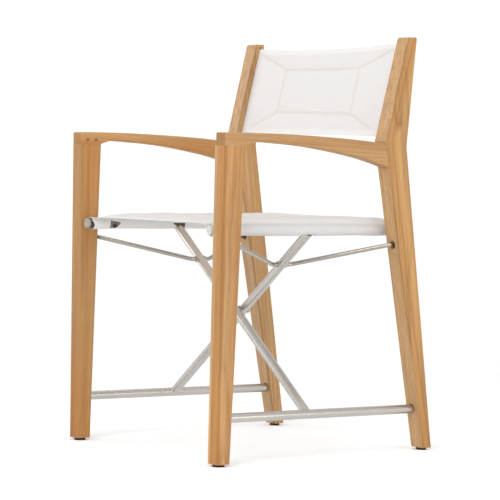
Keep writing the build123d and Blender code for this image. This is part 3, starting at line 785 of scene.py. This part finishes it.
def seat_sewing(station, y):
    """The `sew` colour: seam, double layer."""
    x, _, share, _, _ = station
    double = (0 < share < 1 or (share >= 1 and abs(x) > RAIL_X - 0.036)
              or y < FRONT_Y + HEM_WIDTH or y > REAR_Y - HEM_WIDTH)
    seam = max(bell(abs(x) - (RAIL_X - 0.0175), 0.0012) if share >= 1 else 0.0,
               bell(y - (FRONT_Y + 0.0165), 0.0014), bell(y - (REAR_Y - 0.0165), 0.0014))
    return (seam, float(double), 0, 1)


def is_open(station, following, y):
    """No cloth in the notches and where a tube comes through."""
    if station[3] is None or following[3] is None:
        return False
    angle = (station[3] + following[3]) / 2
    side = station[4]
    in_notch = NOTCH_FRONT < y < NOTCH_REAR and NOTCH_ANGLES[0] < angle < NOTCH_ANGLES[1]
    in_slot = (abs(y - SLOT_Y[side]) < SLOT_HALF[side]
               and SLOT_ANGLES[0] < angle < SLOT_ANGLES[1])
    return in_notch or in_slot


def build_seat():
    profile, rows = seat_profile(), seat_rows()
    outline = [seat_point(station, 0.1) for station in profile]
    lengths = [0.0]     # along the cloth, from the left flap
    for before, after in zip(outline, outline[1:]):
        lengths.append(lengths[-1] + math.dist(after, before))
    verts = [tilt(seat_point(station, y)) for y in rows for station in profile]
    uvs = [(length, y) for y in rows for length in lengths]
    sew = [seat_sewing(station, y) for y in rows for station in profile]
    width = len(profile)
    faces = [quad(j * width, (j + 1) * width, i, i + 1)
             for j in range(len(rows) - 1) for i in range(width - 1)
             if not is_open(profile[i], profile[i + 1], (rows[j] + rows[j + 1]) / 2)]
    seat = new_cloth("seat_cloth", verts, faces, SEAT_CLOTH, uvs, sew)
    thicken(seat)
    subdivision = seat.modifiers.new("round", "SUBSURF")
    subdivision.levels = subdivision.render_levels = 1
    apply_modifiers(seat)
    return seat


def sheet_run(places):
    """Thread on top of the sheet through places (x, y)."""
    points = [tilt(sheet_point(x, y)) for x, y in places]
    return [(x, y, z + CLOTH_THICKNESS / 2) for x, y, z in points], [(0, 0, 1)] * len(points)


def sleeve_run(side, y):
    """Thread round the outside of a sleeve."""
    radius = SLEEVE_RADIUS + CLOTH_THICKNESS / 2
    normals = [(side * math.cos(angle), 0, math.sin(angle))
               for angle in np.linspace(math.radians(135), math.radians(445), 60)]
    return [tilt((side * RAIL_X + radius * n[0], y, RAIL_Z + radius * n[2]))
            for n in normals], normals


def build_seat_stitching():
    hems = (FRONT_Y + HEM_SEAM, REAR_Y - HEM_SEAM)
    ys = np.linspace(FRONT_Y + 0.004, REAR_Y - 0.004, 160)
    xs = np.linspace(-RAIL_X + 0.004, RAIL_X - 0.004, 160)
    runs = [sheet_run([(side * (RAIL_X - inward), y) for y in ys])
            for side in (-1, 1) for inward in SEAMS_IN]
    runs += [sheet_run([(x, y) for x in xs]) for y in hems]
    runs += [sleeve_run(side, y) for side in (-1, 1) for y in hems]
    return stitches("seat_stitching", runs)


seat = build_seat()
seat_thread = build_seat_stitching()
for obj in (seat, seat_thread):
    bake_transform(obj)
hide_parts("seat_sling")


# =====================================================================
# Back: a panelled sheet between the posts, with a bead at each side edge.
# A place on it is x and t, the share of the height; s runs from -1 to 1 across it.
# =====================================================================
POST_Y, POST_Z = 0.1412, 0.6455     # a low point on the posts' front faces
POST_SLOPE = (0.1985 - POST_Y) / (0.860 - POST_Z)
POST_SPREAD = math.tan(math.radians(0.58))      # the posts lean outward
POST_X = 0.2495                     # inner face of the left post at z = 0
BEAD_INSET = 0.0085                 # bead axis beyond that face
SHEET_INSET = 0.0028                # sheet edge short of the bead axis
SHEET_DEPTH = 0.0118                # sheet behind the posts' front faces
BACK_LOW, BACK_HIGH = 0.6547, 0.8495
BACK_HEIGHT = BACK_HIGH - BACK_LOW
BACK_HEM = 0.0128
BACK_COLUMNS, BACK_ROWS = 190, 74
BACK_NORMAL = Vector((0, -math.cos(math.atan(POST_SLOPE)), math.sin(math.atan(POST_SLOPE))))
# corners (x, t) of the middle panel, and the far ends of the seams that run out from them
INNER = [(-0.1365, 0.270), (0.134, 0.243), (0.1320, 0.7634), (-0.1390, 0.773)]
OUTER = [(-0.2275, 0.098), (0.2180, 0.078), (0.240, 0.9396), (-0.240, 0.9396)]
PANEL_SEAMS = list(zip(INNER, INNER[1:] + INNER[:1])) + list(zip(INNER, OUTER))
BEAD_RADIUS, BEAD_BORE = 0.0034, 0.00262
BEAD_SIDES, BEAD_STEPS = 24, 40
BEAD_END_GAP = 0.0004
SEAM_HALF_GAP = 0.0021              # each thread row from the middle of its seam


def bead_x(z):
    return POST_X + POST_SPREAD * z + BEAD_INSET


def back_plane(x, z, lift=0.0):
    y = POST_Y + SHEET_DEPTH + POST_SLOPE * (z - POST_Z)
    normal = BACK_NORMAL
    return (x + normal.x * lift, y + normal.y * lift, z + normal.z * lift)


def back_level(s, t):
    """z of a place, and the sheet's height there; both edges curve inward."""
    low = BACK_LOW + 0.004 * (1 - s * s)
    high = BACK_HIGH - 0.008 * (1 - s * s)
    return low + (high - low) * t, high - low


def seam_distance(x, t, height):
    """Distance to the nearest panel seam."""
    def to_line(start, end):
        from_x, from_z = start[0], start[1] * height
        dx, dz = end[0] - from_x, end[1] * height - from_z
        px, pz = x - from_x, t * height - from_z
        share = max(0.0, min(1.0, (px * dx + pz * dz) / (dx * dx + dz * dz)))
        return math.hypot(px - share * dx, pz - share * dz)
    return min(to_line(start, end) for start, end in PANEL_SEAMS)


def back_relief(x, t, height):
    """Rise of the cloth over its plane: pillowed panels, sewn seams, hems."""
    seam = seam_distance(x, t, height)
    rise = 0.0011 * (1 - math.exp(-(seam / 0.011) ** 1.4)) - 0.0006 * bell(seam, 0.0032)
    rise += 0.0003 * bell(seam - 0.0045, 0.0012)
    for edge in (t * height, (1 - t) * height):
        rise += 0.0003 * smoothstep(0.0145, 0.0120, edge) - 0.0004 * bell(edge - BACK_HEM, 0.0012)
    # small gathers that run off the seams
    rise += 0.00016 * math.sin(x / 0.0075 + 5 * t) * bell(seam - 0.006, 0.006)
    # side edges go flat into the posts
    return rise * smoothstep(0.002, 0.022, POST_X - abs(x))


def back_point(x, s, t, lift=0.0):
    z, height = back_level(s, t)
    # the sheet is drawn tight and bows back a little between the posts
    bow = -0.0024 * (1 - s * s) * math.sin(math.pi * t) * smoothstep(0.0, 0.08, 1 - abs(s))
    return back_plane(x, z, back_relief(x, t, height) + bow + lift)


def build_back():
    verts, uvs, sew = [], [], []
    for j in range(BACK_ROWS + 1):
        t = j / BACK_ROWS
        for i in range(BACK_COLUMNS + 1):
            s = -1 + 2 * i / BACK_COLUMNS
            z, height = back_level(s, t)
            x = s * (bead_x(z) - SHEET_INSET)
            edge = min(t, 1 - t) * height
            seam = max(bell(seam_distance(x, t, height), 0.0024),
                       0.5 * bell(edge - BACK_HEM, 0.0016))
            verts.append(back_point(x, s, t))
            uvs.append((x, z))
            sew.append((seam, 1.0 if edge < 0.013 else 0.0, 0, 1))
    width = BACK_COLUMNS + 1
    faces = [quad(j * width, (j + 1) * width, i, i + 1)
             for j in range(BACK_ROWS) for i in range(BACK_COLUMNS)]
    back = new_cloth("back_cloth", verts, faces, BACK_CLOTH, uvs, sew)
    thicken(back)
    bevel = back.modifiers.new("soft", "BEVEL")
    bevel.width = 0.0004
    bevel.segments = 2
    bevel.limit_method = "ANGLE"
    apply_modifiers(back)
    return back


def build_bead(name, side):
    """The cloth sewn round a rod inside a post: a tube."""
    verts, faces = [], []
    low, high = BACK_LOW + BEAD_END_GAP, BACK_HIGH - BEAD_END_GAP
    for j in range(BEAD_STEPS + 1):
        z = low + (high - low) * j / BEAD_STEPS
        centre = Vector(back_plane(side * bead_x(z), z))
        for radius in (BEAD_RADIUS, BEAD_BORE):
            for i in range(BEAD_SIDES):
                angle = 2 * math.pi * i / BEAD_SIDES
                verts.append(centre + Vector((1, 0, 0)) * (radius * math.cos(angle))
                             + BACK_NORMAL * (radius * math.sin(angle)))
    level = 2 * BEAD_SIDES      # vertices of one step: outer ring, then inner
    last = BEAD_STEPS * level
    for start in range(0, last, level):
        inner = start + BEAD_SIDES
        for a, b in ring_pairs(BEAD_SIDES):
            faces.append(quad(start, start + level, a, b))
            faces.append(quad(inner, inner + level, b, a))
    for a, b in ring_pairs(BEAD_SIDES):
        faces.append(quad(0, BEAD_SIDES, b, a))
        faces.append(quad(last, last + BEAD_SIDES, a, b))
    bead = new_cloth(name, verts, faces, BACK_CLOTH, uvs=[(v.x, v.z) for v in verts],
                     sew=[(0.0, 1.0, 0.0, 1.0)] * len(verts))
    bead["side"] = side
    return bead


def back_runs(start, end, shift=0.0, count=80):
    """Thread from start to end (x, t), shifted sideways, on both faces of the cloth."""
    (x0, t0), (x1, t1) = start, end
    dx, dz = x1 - x0, (t1 - t0) * BACK_HEIGHT
    length = math.hypot(dx, dz)
    shift_x, shift_z = -dz / length * shift, dx / length * shift
    runs = []
    for face in (1, -1):
        points = []
        for share in np.linspace(0.01, 0.99, count):
            x = x0 + (x1 - x0) * share + shift_x
            t = t0 + (t1 - t0) * share + shift_z / BACK_HEIGHT
            s = max(-1.0, min(1.0, x / bead_x(BACK_LOW + t * BACK_HEIGHT)))
            points.append(back_point(x, s, t, lift=face * CLOTH_THICKNESS / 2))
        runs.append((points, [tuple(BACK_NORMAL * face)] * len(points)))
    return runs


def build_back_stitching():
    runs = []
    for start, end in PANEL_SEAMS:
        for shift in (-SEAM_HALF_GAP, SEAM_HALF_GAP):
            runs += back_runs(start, end, shift)
    hem_t = BACK_HEM / BACK_HEIGHT - 0.012
    for t in (hem_t, 1 - hem_t):
        runs += back_runs((-0.2475, t), (0.2475, t), count=160)
    return stitches("back_stitching", runs)


back = build_back()
beads = [build_bead("back_bead_" + name, side) for name, side in SIDES.items()]
back_thread = build_back_stitching()
for obj in (back, back_thread, *beads):
    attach(obj, "left_frame")
    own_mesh(obj)
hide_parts("back_sling")


# =====================================================================
# Floor, world, lights, camera
# =====================================================================
def floor_material():
    m = material("pale_floor")
    grain = m.noise(m.coords(), scale=30.0, detail=3)
    seen = m.node("LightPath", output="Is Camera Ray")
    base = m.mix((0.912, 0.92, 0.93, 1), (0.882, 0.89, 0.90, 1),
                 amount=m.remap(grain, span=(0.3, 0.7), to=(0.0, 0.02)))
    # the camera sees it lighter than it shines on the chair
    base = m.node("VectorMath", {0: base, "Scale": 1.0 + seen * 0.17}, operation="SCALE")
    near = m.node("BsdfDiffuse", {"Color": base, "Roughness": 0.3})
    # far away the floor goes over into the pale backdrop
    backdrop = m.node("Emission", {"Color": (1, 1, 1, 1), "Strength": 1.02})
    distance = m.vector("LENGTH", m.coords(), output=1)
    far = m.remap(distance, span=(0.75, 1.9), smooth=True) * seen
    return m.surface(m.mix_shaders(near, backdrop, far))


def build_floor():
    """A disc of rings round the origin."""
    segments = 64
    radii = np.geomspace(0.4, 14.0, 14)
    verts = [(0, 0, 0)]
    for radius in radii:
        for i in range(segments):
            angle = 2 * math.pi * i / segments
            verts.append((radius * math.cos(angle), radius * math.sin(angle), 0.0))
    faces = [(0, 1 + a, 1 + b) for a, b in ring_pairs(segments)]
    for k in range(len(radii) - 1):
        inner = 1 + k * segments
        outer = inner + segments
        faces += [(inner + a, outer + a, outer + b, inner + b) for a, b in ring_pairs(segments)]
    new_object("floor", verts, faces, floor_material(), smooth=False)


def build_world():
    """White to the camera, soft grey as light, with a dark side for glossy reflections."""
    world = bpy.data.worlds.new("studio")
    g = Graph(world, "ShaderNodeOutputWorld")
    direction = g.coords("Generated")
    height = g.remap(g.separate(direction)[2], span=(-0.3, 1.0))
    sky = g.ramp(height, [(position, (grey, grey, grey * 0.995, 1))
                          for position, grey in ((0.2, 0.80), (1.0, 0.92))])
    glossy = g.node("LightPath", output="Is Glossy Ray")
    toward = g.vector("DOT_PRODUCT", direction, (0.826, -0.561, 0.05), output=1)
    room = g.remap(toward, span=(0.55, 0.96), to=(0.0, 0.80), smooth=True)
    sky = g.mix(sky, (0.20, 0.16, 0.12, 1), amount=room * glossy)
    light = g.node("Background", {0: sky, 1: 0.84})
    backdrop = g.node("Background", {0: (1, 1, 1, 1), 1: 1.05})
    g.surface(g.mix_shaders(light, backdrop, glossy.sibling("Is Camera Ray")))
    return world


def softbox(name, place, target, size, power, tint):
    data = bpy.data.lights.new(name, "AREA")
    data.shape = "RECTANGLE"
    data.size, data.size_y = size
    data.energy = power
    data.color = tint
    obj = bpy.data.objects.new(name, data)
    scene.collection.objects.link(obj)
    obj.location = place
    obj.rotation_euler = (Vector(target) - Vector(place)).to_track_quat("-Z", "Y").to_euler()


# name, place, target, size, watts, colour
SOFTBOXES = [
    ("key", (2.2, -3.4, 3.0), (0, 0, 0.45), (2.6, 2.0), 58, (1.0, 0.985, 0.965)),
    ("side", (3.9, 0.7, 0.95), (0, 0, 0.40), (2.2, 1.5), 40, (1.0, 0.99, 0.98)),
    ("top", (0.0, 0.4, 3.6), (0, 0, 0.4), (3.2, 3.2), 16, (1.0, 1.0, 1.0)),
    ("fill", (-3.4, -2.4, 1.9), (0, 0, 0.5), (2.4, 2.4), 32, (0.98, 0.99, 1.0)),
]
CAMERA_PLACE = (4.51220, -3.0630, 0.66195)
# turn about z from looking along +y, dip below level, roll
AZIMUTH, DIP, ROLL = (math.radians(v) for v in (55.79962, 2.602627, 0.106605))


def build_camera():
    data = bpy.data.cameras.new("camera")
    data.sensor_fit = "HORIZONTAL"
    data.sensor_width = 36.0
    data.lens = 185.321448
    data.shift_x = 0.00146284
    data.shift_y = 0.00006742
    data.clip_start = 0.1
    data.clip_end = 60
    camera = bpy.data.objects.new("camera", data)
    scene.collection.objects.link(camera)
    forward = Vector((-math.sin(AZIMUTH) * math.cos(DIP), math.cos(AZIMUTH) * math.cos(DIP),
                      -math.sin(DIP)))
    level = Vector((math.cos(AZIMUTH), math.sin(AZIMUTH), 0))
    upright = level.cross(forward)
    right = level * math.cos(ROLL) + upright * math.sin(ROLL)
    up = -level * math.sin(ROLL) + upright * math.cos(ROLL)
    rows = zip(right, up, -forward, CAMERA_PLACE)
    camera.matrix_world = Matrix((*rows, (0, 0, 0, 1)))
    scene.camera = camera


scene = bpy.context.scene
build_floor()
scene.world = build_world()
for box_light in SOFTBOXES:
    softbox(*box_light)
scene.view_settings.view_transform = "Standard"
scene.view_settings.look = "None"
build_camera()

bpy.context.view_layer.update()
